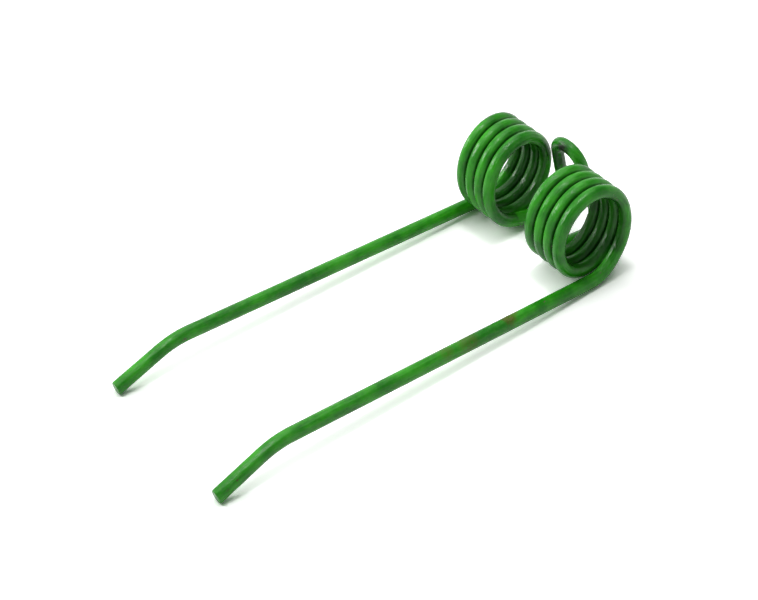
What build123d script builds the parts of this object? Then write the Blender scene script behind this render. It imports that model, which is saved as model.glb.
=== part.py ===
from build123d import *
from math import asin, atan2, cos, hypot, pi, radians, sin, sqrt, tan
import os

# Pickup tine: one length of spring steel wire, wound into two coils that carry
# two long arms, with a hairpin loop between the coils for the fixing bolt.
# The tine lies as it comes to rest: X runs along the coils, the tips point
# to -Y, and the tips and the lowest bends touch the surface at Z = 0.

# Wire
wire_diameter = 5.5
tip_chamfer = 0.4

# Coils
coil_bore = 30.0
coil_turns = 4
turn_gap = 0.2

# Hairpin loop, measured from the coils' axis to where its sides would meet the top
loop_height = 16.6
loop_setback = 15.0
loop_width = 14.4
loop_flat = 0.9

# Feet of the loop, which run back from the first turns under the coils
foot_angle = 9.0
foot_run = 29.4
foot_bend_radius = 8.2

# Arms
arm_spacing = 69.0
arm_length = 169.5
arm_rise = 3.0
arm_side_angle = 45.5
arm_lead_run = 3.3

# Tips
tip_length = 28.0
tip_bend_radius = 38.0

# Sizes that follow from these
wire_radius = wire_diameter / 2
coil_radius = (coil_bore + wire_diameter) / 2
rise_per_radian = (wire_diameter + turn_gap) / (2 * pi)
first_angle = radians(foot_angle)
last_angle = coil_turns * 2 * pi - radians(arm_side_angle)


# Direction of the wire at an angle round the right coil, zero at its lowest point
def wire_direction(angle):
    forward = -coil_radius * cos(angle)
    upward = coil_radius * sin(angle)
    return Vector(rise_per_radian, forward, upward).normalized()


# The arm leaves the coil's last turn behind its lowest point, runs straight for
# a little and bends under the coil by the coil's own radius
leaving = wire_direction(last_angle)
arm_direction = Vector(0, -cos(radians(arm_rise)), sin(radians(arm_rise)))
arm_turn = radians(leaving.get_angle(arm_direction))
arm_lead = coil_radius * tan(arm_turn / 2) + arm_lead_run
coil_start_x = arm_spacing / 2 - leaving.X * arm_lead - rise_per_radian * last_angle


# Centre of the wire at an angle round the right coil, from a point on the coils' axis
def wire_point(angle):
    across = coil_start_x + rise_per_radian * angle
    return Vector(across, -coil_radius * sin(angle), -coil_radius * cos(angle))


arm_start = wire_point(last_angle)
arm_corner = arm_start + leaving * arm_lead
tip_corner = arm_corner + arm_direction * arm_length

# The foot of the loop runs straight back from the first turn, a little downhill,
# and turns up tightly into the side of the hairpin loop
entering = wire_direction(first_angle)
coil_start = wire_point(first_angle)
loop_foot = coil_start - entering * foot_run
loop_corner = Vector(loop_width / 2, loop_setback, loop_height)
loop_middle = Vector(0, loop_setback, loop_height)
loop_side = (loop_foot - loop_corner).normalized()
loop_turn = radians(loop_side.get_angle(Vector(1, 0, 0)))
loop_radius = (loop_width - loop_flat) / 2 / tan(loop_turn / 2)
foot_turn = radians(loop_side.get_angle(entering))


# Centre of a bend of the wire, from the corner between its two straight lines
def bend_centre(corner, before, after, bend_radius, turn):
    return corner + (after - before).normalized() * (bend_radius / cos(turn / 2))


# The lower of the arm's first bend and the foot's bend sets how high the coils' axis lies
arm_bend = bend_centre(arm_corner, leaving, arm_direction, coil_radius, arm_turn)
arm_bend_axis = leaving.cross(arm_direction).normalized()
arm_bend_low = arm_bend.Z - coil_radius * sqrt(1 - arm_bend_axis.Z**2)
foot_bend = bend_centre(loop_foot, loop_side, entering, foot_bend_radius, foot_turn)
foot_bend_axis = loop_side.cross(entering).normalized()
foot_bend_low = foot_bend.Z - foot_bend_radius * sqrt(1 - foot_bend_axis.Z**2)
axis_height = wire_radius - min(arm_bend_low, foot_bend_low)

# The tip dips until its lower edge touches the surface
tip_height = axis_height + tip_corner.Z
tip_reach = tip_length - tip_chamfer
tip_dip = asin(tip_height / hypot(tip_reach, wire_radius)) - atan2(wire_radius, tip_reach)
tip_end = tip_corner + Vector(0, -cos(tip_dip), -sin(tip_dip)) * tip_length

# The middle of the overall length lies at Y = 0
back_end = foot_bend.Y + foot_bend_radius * sqrt(1 - foot_bend_axis.Y**2) + wire_radius
front_end = tip_end.Y - (wire_radius - tip_chamfer) * sin(tip_dip)
coil_axis = Vector(0, -(back_end + front_end) / 2, axis_height)

# Centre line of the right coil
turn_start = coil_axis + coil_start
axis_point = Vector(turn_start.X, coil_axis.Y, coil_axis.Z)
coil_plane = Plane(origin=axis_point, x_dir=turn_start - axis_point, z_dir=(1, 0, 0))
coil_length = rise_per_radian * (last_angle - first_angle)
coil_line = coil_plane * Helix(
    pitch=wire_diameter + turn_gap, height=coil_length, radius=coil_radius, lefthand=True
)

# The whole tine: half of the centre line, its mirror image, and one round section swept along both
with BuildPart() as spring_tine:
    with BuildLine() as wire_path:
        FilletPolyline(
            coil_axis + loop_middle,
            coil_axis + loop_corner,
            coil_axis + loop_foot,
            turn_start,
            radius=[loop_radius, foot_bend_radius],
        )
        add(coil_line)
        FilletPolyline(
            coil_axis + arm_start,
            coil_axis + arm_corner,
            coil_axis + tip_corner,
            coil_axis + tip_end,
            radius=[coil_radius, tip_bend_radius],
        )
        mirror(about=Plane.YZ)
    with BuildSketch(Plane(origin=coil_axis + tip_end, z_dir=tip_corner - tip_end)):
        Circle(wire_radius)
    sweep(path=wire_path.wires()[0])
    tip_faces = spring_tine.faces().filter_by(GeomType.PLANE).sort_by(Axis.Y)[:2]
    chamfer(tip_faces.edges(), length=tip_chamfer)

spring_tine.part.label = "spring_tine"

os.makedirs("parts", exist_ok=True)
export_step(spring_tine.part, "parts/spring_tine.step")

print("wire length", round(wire_path.wires()[0].length, 1), "mm")
print("wire volume", round(wire_path.wires()[0].length * pi * wire_radius**2), "mm3")
print("tine volume", round(spring_tine.part.volume), "mm3")
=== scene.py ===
import bmesh
import bpy
from math import asin, atan2, cos, hypot, pi, radians, sin, tan
from mathutils import Matrix, Vector


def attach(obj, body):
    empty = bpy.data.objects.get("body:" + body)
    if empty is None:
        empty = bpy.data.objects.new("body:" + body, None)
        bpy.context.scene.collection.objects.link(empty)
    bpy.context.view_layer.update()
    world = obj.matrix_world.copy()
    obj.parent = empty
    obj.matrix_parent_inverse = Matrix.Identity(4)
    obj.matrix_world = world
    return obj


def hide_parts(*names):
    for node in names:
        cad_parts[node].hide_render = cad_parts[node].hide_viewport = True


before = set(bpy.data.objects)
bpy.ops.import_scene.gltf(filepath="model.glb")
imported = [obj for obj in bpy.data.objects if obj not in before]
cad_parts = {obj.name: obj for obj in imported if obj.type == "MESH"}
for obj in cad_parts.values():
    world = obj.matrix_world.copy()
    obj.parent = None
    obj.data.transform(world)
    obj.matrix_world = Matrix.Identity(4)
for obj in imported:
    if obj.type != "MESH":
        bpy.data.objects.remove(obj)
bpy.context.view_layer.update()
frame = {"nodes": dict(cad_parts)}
print("frame loaded:", ", ".join(frame["nodes"]))

scene = bpy.context.scene
studio = scene.collection


# A socket of a shader tree that adds up and multiplies like a plain number
class Signal:
    def __init__(self, paint, socket):
        self.paint = paint
        self.socket = socket

    def maths(self, operation, *values):
        return self.paint.node("ShaderNodeMath", {"operation": operation}, values)

    def __add__(self, other):
        return self.maths("ADD", self, other)

    def __sub__(self, other):
        return self.maths("SUBTRACT", self, other)

    def __rsub__(self, other):
        return self.maths("SUBTRACT", other, self)

    def __mul__(self, other):
        return self.maths("MULTIPLY", self, other)

    __radd__ = __add__
    __rmul__ = __mul__


# The node tree of a material or of the world
class PaintTree:
    def __init__(self, owner):
        owner.use_nodes = True
        self.tree = owner.node_tree
        self.tree.nodes.clear()

    def plug(self, value, socket):
        if isinstance(value, Signal):
            self.tree.links.new(value.socket, socket)
        else:
            socket.default_value = value

    # values is a list in socket order, or a dictionary by socket name or number
    def node(self, kind, settings, values, output=0):
        made = self.tree.nodes.new(kind)
        for name, value in settings.items():
            setattr(made, name, value)
        pairs = values.items() if isinstance(values, dict) else enumerate(values)
        for key, value in pairs:
            self.plug(value, made.inputs[key])
        return Signal(self, made.outputs[output]) if len(made.outputs) else made

    # noise whose lumps are about size metres across, between 0 and 1; a stretch under 1 draws
    # them out that way
    def noise(self, place, size, detail=2.0, roughness=0.5, stretch=None, shift=(0, 0, 0)):
        if stretch:
            moved = {"Vector": place, "Scale": stretch, "Location": shift}
            place = self.node("ShaderNodeMapping", {}, moved)
        values = {"Vector": place, "Scale": 1 / size, "Detail": detail, "Roughness": roughness}
        return self.node("ShaderNodeTexNoise", {}, values)

    # 0 below low, 1 above high, eased between
    def ramp(self, value, low, high):
        values = {"Value": value, "From Min": low, "From Max": high}
        return self.node("ShaderNodeMapRange", {"interpolation_type": "SMOOTHSTEP"}, values)

    def distance(self, place, spot):
        return self.node("ShaderNodeVectorMath", {"operation": "DISTANCE"}, [place, spot], output=1)

    def mixColour(self, factor, first, second):
        values = {0: factor, 6: first, 7: second}
        return self.node("ShaderNodeMix", {"data_type": "RGBA"}, values, output=2)

    # 1 for a ray of that kind: "Camera", "Glossy" or "Transmission"
    def isRay(self, kind):
        return self.node("ShaderNodeLightPath", {}, {}, output="Is " + kind + " Ray")


def srgb(red, green, blue):
    linear = []
    for value in (red / 255, green / 255, blue / 255):
        linear.append(value / 12.92 if value <= 0.04045 else ((value + 0.055) / 1.055) ** 2.4)
    return (*linear, 1.0)


def grey(level):
    return (level, level, level, 1.0)


# Green paint on spring steel wire. Sizes are in metres; the last of a stretch's three numbers
# is along the wire. A range is where something starts to show and where it shows in full.
greenPaint = {
    "deep": srgb(23, 118, 12),
    "fresh": srgb(54, 162, 28),
    "faded": srgb(84, 138, 48),
    # painted shade colour for the coils' insides and the grooves between turns
    "paintedShade": srgb(5, 42, 4),
    "rust": srgb(70, 58, 24),
    "cloud": {"size": 0.012, "detail": 3.0},
    "streak": {"size": 0.0011, "detail": 3.0, "roughness": 0.6, "stretch": (1, 1, 0.1)},
    "ripple": {"size": 0.0032, "stretch": (1, 1, 0.6)},
    "peel": {"size": 0.0008},
    "ragged": {
        "size": 0.0018,
        "detail": 4.0,
        "roughness": 0.65,
        "stretch": (1, 1, 1),
        "shift": (0.2, 0.1, 0),
    },
    "speck": {"size": 0.0016, "stretch": (1, 1, 0.6), "shift": (0.3, 0, 0)},
    "speckGroup": {"size": 0.018},
    "speckRange": (0.69, 0.74),
    "speckGroupRange": (0.5, 0.62),
    "speckStrength": 0.8,
    "streakInColour": 0.35,
    "freshRange": (0.48, 0.88),
    "fadedRange": (0.5, 0.8),
    "fadedStrength": 0.3,
    "raggedInBore": 0.4,
    "boreRange": (0.3, 1.2),
    "boreStrength": 0.65,
    "raggedInGroove": 0.2,
    "grooveRange": (0.8, 1.08),
    "grooveStrength": 0.85,
    "spotRange": (1.3, 0.8),
    "spotRagged": (0.3, 0.5),
    "bumpDepth": 0.0001,
    "rippleHeight": 2.2,
    "peelHeight": 0.9,
    "streakHeight": 3.6,
    "speckDepth": 0.8,
    "roughness": 0.12,
    "streakRoughness": 0.12,
    "spotRoughness": 0.3,
    "spotInRoughness": 0.5,
    "refraction": 1.38,
}

# Marked places, each with its colour and its reach on the surface in metres: painted shade on the left
# leg where it lies between the coils, a near-black patch on the inside of the loop's top bend, and rust
# and faded paint on the right arm
wornAndShadedPlaces = [
    # painted shade: the left leg darkened where it lies between the coils
    {"colour": srgb(4, 56, 4), "place": (-0.0072, 0.1005, 0.0300), "reach": 0.0130, "strength": 0.8},
    # a near-black patch on the inside of the loop's top bend
    {"colour": srgb(14, 11, 9), "place": (0.0, 0.0952, 0.0386), "reach": 0.0064, "strength": 0.97},
    {"colour": srgb(98, 74, 34), "place": (0.0342, 0.0340, 0.0080), "reach": 0.0056, "strength": 0.66},
    {"colour": srgb(98, 74, 34), "place": (0.0326, 0.0384, 0.0072), "reach": 0.0034, "strength": 0.55},
    {"colour": srgb(84, 98, 34), "place": (0.0355, 0.0115, 0.0086), "reach": 0.0085, "strength": 0.5},
    {"colour": srgb(84, 98, 34), "place": (0.0353, 0.0005, 0.0094), "reach": 0.0055, "strength": 0.45},
]


def makeGreenPaint(finish, places):
    material = bpy.data.materials.new("greenPaint")
    paint = PaintTree(material)
    place = paint.node("ShaderNodeTexCoord", {}, {}, output="Object")
    skin = paint.node("ShaderNodeAttribute", {"attribute_name": "wireSkin"}, {}, output="Vector")
    groove = paint.node("ShaderNodeAttribute", {"attribute_name": "turnGroove"}, {}, output="Fac")
    bore = paint.node("ShaderNodeAttribute", {"attribute_name": "coilBore"}, {}, output="Fac")

    cloud = paint.noise(place, **finish["cloud"])
    streak = paint.noise(skin, **finish["streak"])
    ripple = paint.noise(skin, **finish["ripple"])
    peel = paint.noise(place, **finish["peel"])
    ragged = paint.noise(place, **finish["ragged"])

    # specks where the paint has chipped off and the wire rusts, in loose groups
    speck = paint.ramp(paint.noise(skin, **finish["speck"]), *finish["speckRange"])
    speckGroup = paint.noise(place, **finish["speckGroup"])
    speck = speck * paint.ramp(speckGroup, *finish["speckGroupRange"])

    bright = paint.ramp(cloud + streak * finish["streakInColour"], *finish["freshRange"])
    colour = paint.mixColour(bright, finish["deep"], finish["fresh"])
    faded = paint.ramp(ragged, *finish["fadedRange"])
    colour = paint.mixColour(faded * finish["fadedStrength"], colour, finish["faded"])
    # painted shade: the colour darkens inside the coils and between their turns, where shade falls
    inside = paint.ramp(bore + ragged * finish["raggedInBore"], *finish["boreRange"])
    colour = paint.mixColour(inside * finish["boreStrength"], colour, finish["paintedShade"])
    between = paint.ramp(groove + ragged * finish["raggedInGroove"], *finish["grooveRange"])
    colour = paint.mixColour(between * finish["grooveStrength"], colour, finish["paintedShade"])
    wornAndShaded = speck * finish["speckStrength"]
    edge, middle = finish["spotRange"]
    # each place's colour is blended in; the first place's colour is painted shade, the others are marks
    # on the paint
    for spot in places:
        reach = spot["reach"]
        away = paint.distance(place, spot["place"]) + ragged * reach
        near = 1 - paint.ramp(away, reach * middle, reach * edge)
        near = near * paint.ramp(ragged, *finish["spotRagged"]) * spot["strength"]
        colour = paint.mixColour(near, colour, spot["colour"])
        wornAndShaded = wornAndShaded + near * finish["spotInRoughness"]
    colour = paint.mixColour(speck * finish["speckStrength"], colour, finish["rust"])

    height = ripple * finish["rippleHeight"] + peel * finish["peelHeight"]
    height = height + streak * finish["streakHeight"] - speck * finish["speckDepth"]
    raised = {"Strength": 1.0, "Distance": finish["bumpDepth"], "Height": height}
    roughness = finish["roughness"] + streak * finish["streakRoughness"] + wornAndShaded * finish["spotRoughness"]
    shader = paint.node("ShaderNodeBsdfPrincipled", {}, {
        "Base Color": colour,
        "Roughness": roughness,
        "Normal": paint.node("ShaderNodeBump", {}, raised),
        "IOR": finish["refraction"],
    })
    paint.node("ShaderNodeOutputMaterial", {}, {"Surface": shader})
    return material


# Lengths in metres, angles in degrees: the driving values of the solid model. The radius is
# a hundredth of a millimetre under the solid's, and the rounded tip edge is a little larger
# than the solid's flat one, so that the wire stays inside the solid.
tineWire = {
    "radius": 0.00274,
    "tipChamfer": 0.0004,
    "tipRounding": 0.0005,
    "tipRoundingSteps": 3,
    "sides": 40,
    "coilRadius": 0.01775,
    "turns": 4,
    "pitch": 0.0057,
    "axisY": 0.083043,
    "axisZ": 0.022974,
    "loopHeight": 0.0166,
    "loopSetback": 0.015,
    "loopWidth": 0.0144,
    "loopFlat": 0.0009,
    "footAngle": 9.0,
    "footRun": 0.0294,
    "footBend": 0.0082,
    "armSpacing": 0.069,
    "armLength": 0.1695,
    "armRise": 3.0,
    "armSideAngle": 45.5,
    "armLeadRun": 0.0033,
    "tipLength": 0.028,
    "tipBend": 0.038,
    "bendStep": 5.0,
    "tipBendStep": 2.5,
    "turnStep": 4.0,
    "legRings": 4,
    "footRings": 3,
    "armRings": 12,
    "tipRings": 3,
    "sharpFrom": 28.0,
    "mergeWithin": 0.000001,
}


# Pulls the open end of the wire on by one ring; the skin attribute keeps where each corner
# would be if the wire were straight
def pullRing(wire, move, length):
    grown = bmesh.ops.extrude_edge_only(wire["mesh"], edges=wire["rim"])["geom"]
    corners = [item for item in grown if isinstance(item, bmesh.types.BMVert)]
    edges = [item for item in grown if isinstance(item, bmesh.types.BMEdge)]
    bmesh.ops.transform(wire["mesh"], matrix=move, verts=corners)
    wire["length"] += length
    wire["at"] = move @ wire["at"]
    for corner in corners:
        across, upward, _ = corner[wire["skin"]]
        corner[wire["skin"]] = (across, upward, wire["length"])
        corner[wire["groove"]] = 0.0
        corner[wire["bore"]] = 0.0
    fresh = set(corners)
    wire["rim"] = [edge for edge in edges if edge.verts[0] in fresh and edge.verts[1] in fresh]


def runWire(wire, length, rings=1):
    step = wire["heading"] * (length / rings)
    for _ in range(rings):
        pullRing(wire, Matrix.Translation(step), length / rings)


def bendWire(wire, heading, bendRadius, stepAngle):
    turn = wire["heading"].angle(heading)
    axis = wire["heading"].cross(heading).normalized()
    centre = wire["at"] + axis.cross(wire["heading"]) * bendRadius
    rings = max(2, round(turn / radians(stepAngle)))
    about = Matrix.Translation(centre) @ Matrix.Rotation(turn / rings, 4, axis)
    about = about @ Matrix.Translation(-centre)
    for _ in range(rings):
        pullRing(wire, about, bendRadius * turn / rings)
    wire["heading"] = heading.normalized()


# The wire's direction in the right coil, by the angle turned since its lowest point
def coilDirection(wire, angle):
    rise = wire["pitch"] / (2 * pi)
    coilRadius = wire["coilRadius"]
    return Vector((rise, -coilRadius * cos(angle), coilRadius * sin(angle))).normalized()


# First ring, at the middle of the hairpin loop, in the plane that mirrors the tine
def startWire(wire, middle):
    wire["mesh"] = bmesh.new()
    wire["skin"] = wire["mesh"].verts.layers.float_vector.new("wireSkin")
    wire["groove"] = wire["mesh"].verts.layers.float.new("turnGroove")
    wire["bore"] = wire["mesh"].verts.layers.float.new("coilBore")
    upright = Matrix.Translation(middle) @ Matrix.Rotation(pi / 2, 4, "Y")
    first = bmesh.ops.create_circle(wire["mesh"], segments=wire["sides"], radius=wire["radius"],
                                    matrix=upright)
    for corner in first["verts"]:
        corner[wire["skin"]] = (corner.co.y - middle.y, corner.co.z - middle.z, 0)
    wire["rim"] = list(wire["mesh"].edges)
    wire["at"] = middle.copy()
    wire["heading"] = Vector((1, 0, 0))
    wire["length"] = 0.0


# Half of the hairpin loop: its bend, its leg, the foot bend and the run up to the coil
def bendLoop(wire, axis, coilStart, entering):
    foot = coilStart - entering * wire["footRun"]
    middle = axis + Vector((0, wire["loopSetback"], wire["loopHeight"]))
    corner = middle + Vector((wire["loopWidth"] / 2, 0, 0))
    legHeading = (foot - corner).normalized()
    topTangent = (wire["loopWidth"] - wire["loopFlat"]) / 2
    topBend = topTangent / tan(Vector((1, 0, 0)).angle(legHeading) / 2)
    footTangent = wire["footBend"] * tan(legHeading.angle(entering) / 2)

    startWire(wire, middle)
    runWire(wire, wire["loopFlat"] / 2)
    bendWire(wire, legHeading, topBend, wire["bendStep"])
    runWire(wire, (foot - corner).length - topTangent - footTangent, wire["legRings"])
    bendWire(wire, entering, wire["footBend"], wire["bendStep"])
    runWire(wire, wire["footRun"] - footTangent, wire["footRings"])
    print("hairpin loop bent, ends off the coil's start by", (wire["at"] - coilStart).length, "m")


# How far each corner of the coil's last ring faces the next turn, and how far the coil's axis; the paint
# darkens both as painted shade
def markTurn(wire, axis, innerTurn, outerTurn):
    inward = axis - wire["at"]
    inward.x = 0
    inward.normalize()
    for corner in {corner for edge in wire["rim"] for corner in edge.verts}:
        facing = (corner.co - wire["at"]) / wire["radius"]
        corner[wire["groove"]] = max(-facing.x * innerTurn, facing.x * outerTurn, 0)
        corner[wire["bore"]] = max(facing.dot(inward), 0)


# Each ring of the coil turns about the axis and moves outwards a little
def windCoil(wire, axis, swept):
    rise = wire["pitch"] / (2 * pi)
    rings = round(swept / radians(wire["turnStep"]))
    ringsPerTurn = round(360 / wire["turnStep"])
    screw = (Matrix.Translation(axis + Vector((rise * swept / rings, 0, 0)))
             @ Matrix.Rotation(-swept / rings, 4, "X") @ Matrix.Translation(-axis))
    ringLength = hypot(rise, wire["coilRadius"]) * swept / rings
    for ring in range(rings):
        pullRing(wire, screw, ringLength)
        markTurn(wire, axis, ring >= ringsPerTurn, ring < rings - ringsPerTurn)
    print("coil wound with", rings, "rings")


# The arm, and its tip, which dips until it touches the surface
def bendArm(wire, armHeading, armTangent):
    runWire(wire, wire["armLeadRun"])
    bendWire(wire, armHeading, wire["coilRadius"], wire["bendStep"])
    tipCorner = wire["at"] + armHeading * (wire["armLength"] - armTangent)
    reach = wire["tipLength"] - wire["tipChamfer"]
    tipDip = asin(tipCorner.z / hypot(reach, wire["radius"])) - atan2(wire["radius"], reach)
    tipHeading = Vector((0, -cos(tipDip), -sin(tipDip)))
    tipTangent = wire["tipBend"] * tan(armHeading.angle(tipHeading) / 2)
    runWire(wire, wire["armLength"] - armTangent - tipTangent, wire["armRings"])
    bendWire(wire, tipHeading, wire["tipBend"], wire["tipBendStep"])
    runWire(wire, wire["tipLength"] - tipTangent, wire["tipRings"])
    print("arm and tip bent, wire", round(wire["length"] * 2000), "mm long in all")


# Square-cut end with its edge taken off, then the left half as the right half's mirror image
def closeAndMirror(wire):
    mesh = wire["mesh"]
    bmesh.ops.edgeloop_fill(mesh, edges=wire["rim"])
    bmesh.ops.bevel(mesh, geom=wire["rim"], offset=wire["tipRounding"], offset_type="OFFSET",
                    segments=wire["tipRoundingSteps"], profile=0.5, affect="EDGES", material=-1)
    bmesh.ops.mirror(mesh, geom=mesh.verts[:] + mesh.edges[:] + mesh.faces[:],
                     matrix=Matrix.Identity(4), merge_dist=wire["mergeWithin"], axis="X")
    for corner in mesh.verts:
        across, upward, along = corner[wire["skin"]]
        if corner.co.x < 0:
            corner[wire["skin"]] = (across, upward, -along)
    bmesh.ops.recalc_face_normals(mesh, faces=mesh.faces)
    for face in mesh.faces:
        face.smooth = len(face.verts) == 4
    for edge in mesh.edges:
        edge.smooth = edge.calc_face_angle() < radians(wire["sharpFrom"])


def buildTine(wire):
    firstAngle = radians(wire["footAngle"])
    lastAngle = wire["turns"] * 2 * pi - radians(wire["armSideAngle"])
    rise = wire["pitch"] / (2 * pi)
    axis = Vector((0, wire["axisY"], wire["axisZ"]))

    # where the right coil starts, so that the arms come out at their spacing
    armHeading = Vector((0, -cos(radians(wire["armRise"])), sin(radians(wire["armRise"]))))
    leaving = coilDirection(wire, lastAngle)
    armTangent = wire["coilRadius"] * tan(leaving.angle(armHeading) / 2)
    coilStartX = wire["armSpacing"] / 2 - leaving.x * (armTangent + wire["armLeadRun"])
    coilStartX = coilStartX - rise * lastAngle
    startOffset = Vector((coilStartX + rise * firstAngle, 0, 0))
    startOffset -= Vector((0, sin(firstAngle), cos(firstAngle))) * wire["coilRadius"]

    bendLoop(wire, axis, axis + startOffset, coilDirection(wire, firstAngle))
    windCoil(wire, axis, lastAngle - firstAngle)
    wire["heading"] = leaving
    bendArm(wire, armHeading, armTangent)
    closeAndMirror(wire)

    mesh = bpy.data.meshes.new("springTine")
    wire["mesh"].to_mesh(mesh)
    wire["mesh"].free()
    tine = bpy.data.objects.new("springTine", mesh)
    studio.objects.link(tine)
    return tine


springTine = buildTine(tineWire)
springTine.data.materials.append(makeGreenPaint(greenPaint, wornAndShadedPlaces))
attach(springTine, "root")
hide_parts("spring_tine")
print("tine mesh:", len(springTine.data.vertices), "vertices,", len(springTine.data.polygons), "faces")

# Matt paper: how pale it is as it lights the tine, in gloss, and to the camera, to which it is
# whiter than white, so that it comes out clear and only the deeper shadows stay
studioFloor = {"size": 8.0, "lit": 0.85, "inGloss": 1.0, "toCamera": 1.5}


def makeFloor(floor):
    sheet = bmesh.new()
    bmesh.ops.create_grid(sheet, x_segments=1, y_segments=1, size=floor["size"] / 2)
    mesh = bpy.data.meshes.new("studioFloor")
    sheet.to_mesh(mesh)
    sheet.free()
    made = bpy.data.objects.new("studioFloor", mesh)
    studio.objects.link(made)
    material = bpy.data.materials.new("palePaper")
    paint = PaintTree(material)
    mirrored = paint.isRay("Glossy") + paint.isRay("Transmission")
    colour = paint.mixColour(mirrored, grey(floor["lit"]), grey(floor["inGloss"]))
    colour = paint.mixColour(paint.isRay("Camera"), colour, grey(floor["toCamera"]))
    matt = paint.node("ShaderNodeBsdfDiffuse", {}, {"Color": colour})
    paint.node("ShaderNodeOutputMaterial", {}, {"Surface": matt})
    mesh.materials.append(material)


makeFloor(studioFloor)

# Square lamps; places in metres, powers in watts
softLights = [
    {"name": "overhead", "place": (-0.8, 0.0, 3.0), "aim": (0, 0.02, 0), "size": 4.2, "power": 79.0},
    {"name": "topLamp", "place": (-0.12, 0.0, 3.0), "aim": (0, 0.02, 0), "size": 0.6, "power": 20.0},
    {"name": "leftWindow", "place": (-2.7, -1.8, 1.65), "aim": (0, 0.02, 0), "size": 1.2, "power": 72.0},
]


def addSoftLights(lights):
    for light in lights:
        lamp = bpy.data.lights.new(light["name"], "AREA")
        lamp.shape = "SQUARE"
        lamp.size = light["size"]
        lamp.energy = light["power"]
        made = bpy.data.objects.new(light["name"], lamp)
        made.location = light["place"]
        towards = Vector(light["aim"]) - Vector(light["place"])
        made.rotation_euler = towards.to_track_quat("-Z", "Y").to_euler()
        studio.objects.link(made)


addSoftLights(softLights)

# The room's own light, and how bright its walls and its ceiling look to the camera and in gloss
roomLight = {"strength": 0.18, "walls": 1.0, "ceiling": 0.3, "ceilingFrom": 0.15, "ceilingFull": 0.6}


def lightRoom(room):
    world = bpy.data.worlds.new("whiteRoom")
    scene.world = world
    paint = PaintTree(world)
    direction = paint.node("ShaderNodeTexCoord", {}, {}, output="Generated")
    upward = paint.node("ShaderNodeSeparateXYZ", {}, [direction], output="Z")
    overhead = paint.ramp(upward, room["ceilingFrom"], room["ceilingFull"])
    brightness = room["walls"] - overhead * (room["walls"] - room["ceiling"])
    sky = paint.node("ShaderNodeBackground", {}, {"Color": grey(1.0), "Strength": room["strength"]})
    walls = paint.node("ShaderNodeBackground", {}, {"Color": grey(1.0), "Strength": brightness})
    seen = paint.isRay("Camera") + paint.isRay("Glossy") + paint.isRay("Transmission")
    both = paint.node("ShaderNodeMixShader", {}, [seen, sky, walls])
    paint.node("ShaderNodeOutputWorld", {}, {"Surface": both})


lightRoom(roomLight)

# The picture is 758 x 600; lengths here are in wire diameters, as measured from it.
# Round things stand an eighth too tall in it, so the picture plane leans back by planeTilt.
photoView = {
    "pictureWidth": 758,
    "azimuth": 51.307,
    "elevation": 37.531,
    "roll": 0.431,
    "planeTilt": 26.653,
    "distance": 176.22,
    "focalPixels": 2362.4,
    "across": -2.741,
    "ahead": -12.543,
    "height": 0.802,
    "wireDiameter": 0.0055,
    "sensorWidth": 36.0,
    "clipFrom": 0.01,
    "clipTo": 50.0,
}


def placeCamera(shot):
    angles = [radians(shot[key]) for key in ("azimuth", "elevation", "roll", "planeTilt")]
    azimuth, elevation, roll, tilt = angles
    level = Vector((cos(azimuth), sin(azimuth), 0))
    back = Vector((sin(azimuth) * cos(elevation), -cos(azimuth) * cos(elevation), sin(elevation)))
    above = back.cross(level)
    right = level * cos(roll) + above * sin(roll)
    up = above * cos(roll) - level * sin(roll)
    target = Vector((0, shot["ahead"], shot["height"])) + level * shot["across"]
    place = (target + back * shot["distance"]) * shot["wireDiameter"] + Vector((0, tineWire["axisY"], 0))
    lens = bpy.data.cameras.new("photoCamera")
    lens.sensor_fit = "HORIZONTAL"
    lens.sensor_width = shot["sensorWidth"]
    lens.lens = shot["focalPixels"] / shot["pictureWidth"] * shot["sensorWidth"]
    lens.clip_start = shot["clipFrom"]
    lens.clip_end = shot["clipTo"]
    stand = bpy.data.objects.new("cameraStand", None)
    camera = bpy.data.objects.new("photoCamera", lens)
    camera.parent = stand
    plane = Matrix((right, up * cos(tilt) + back * sin(tilt), back)).transposed().to_4x4()
    camera.matrix_parent_inverse = Matrix.Translation(place) @ plane
    studio.objects.link(stand)
    studio.objects.link(camera)
    scene.camera = camera


placeCamera(photoView)
scene.view_settings.view_transform = "Standard"
print("floor, light and camera ready")
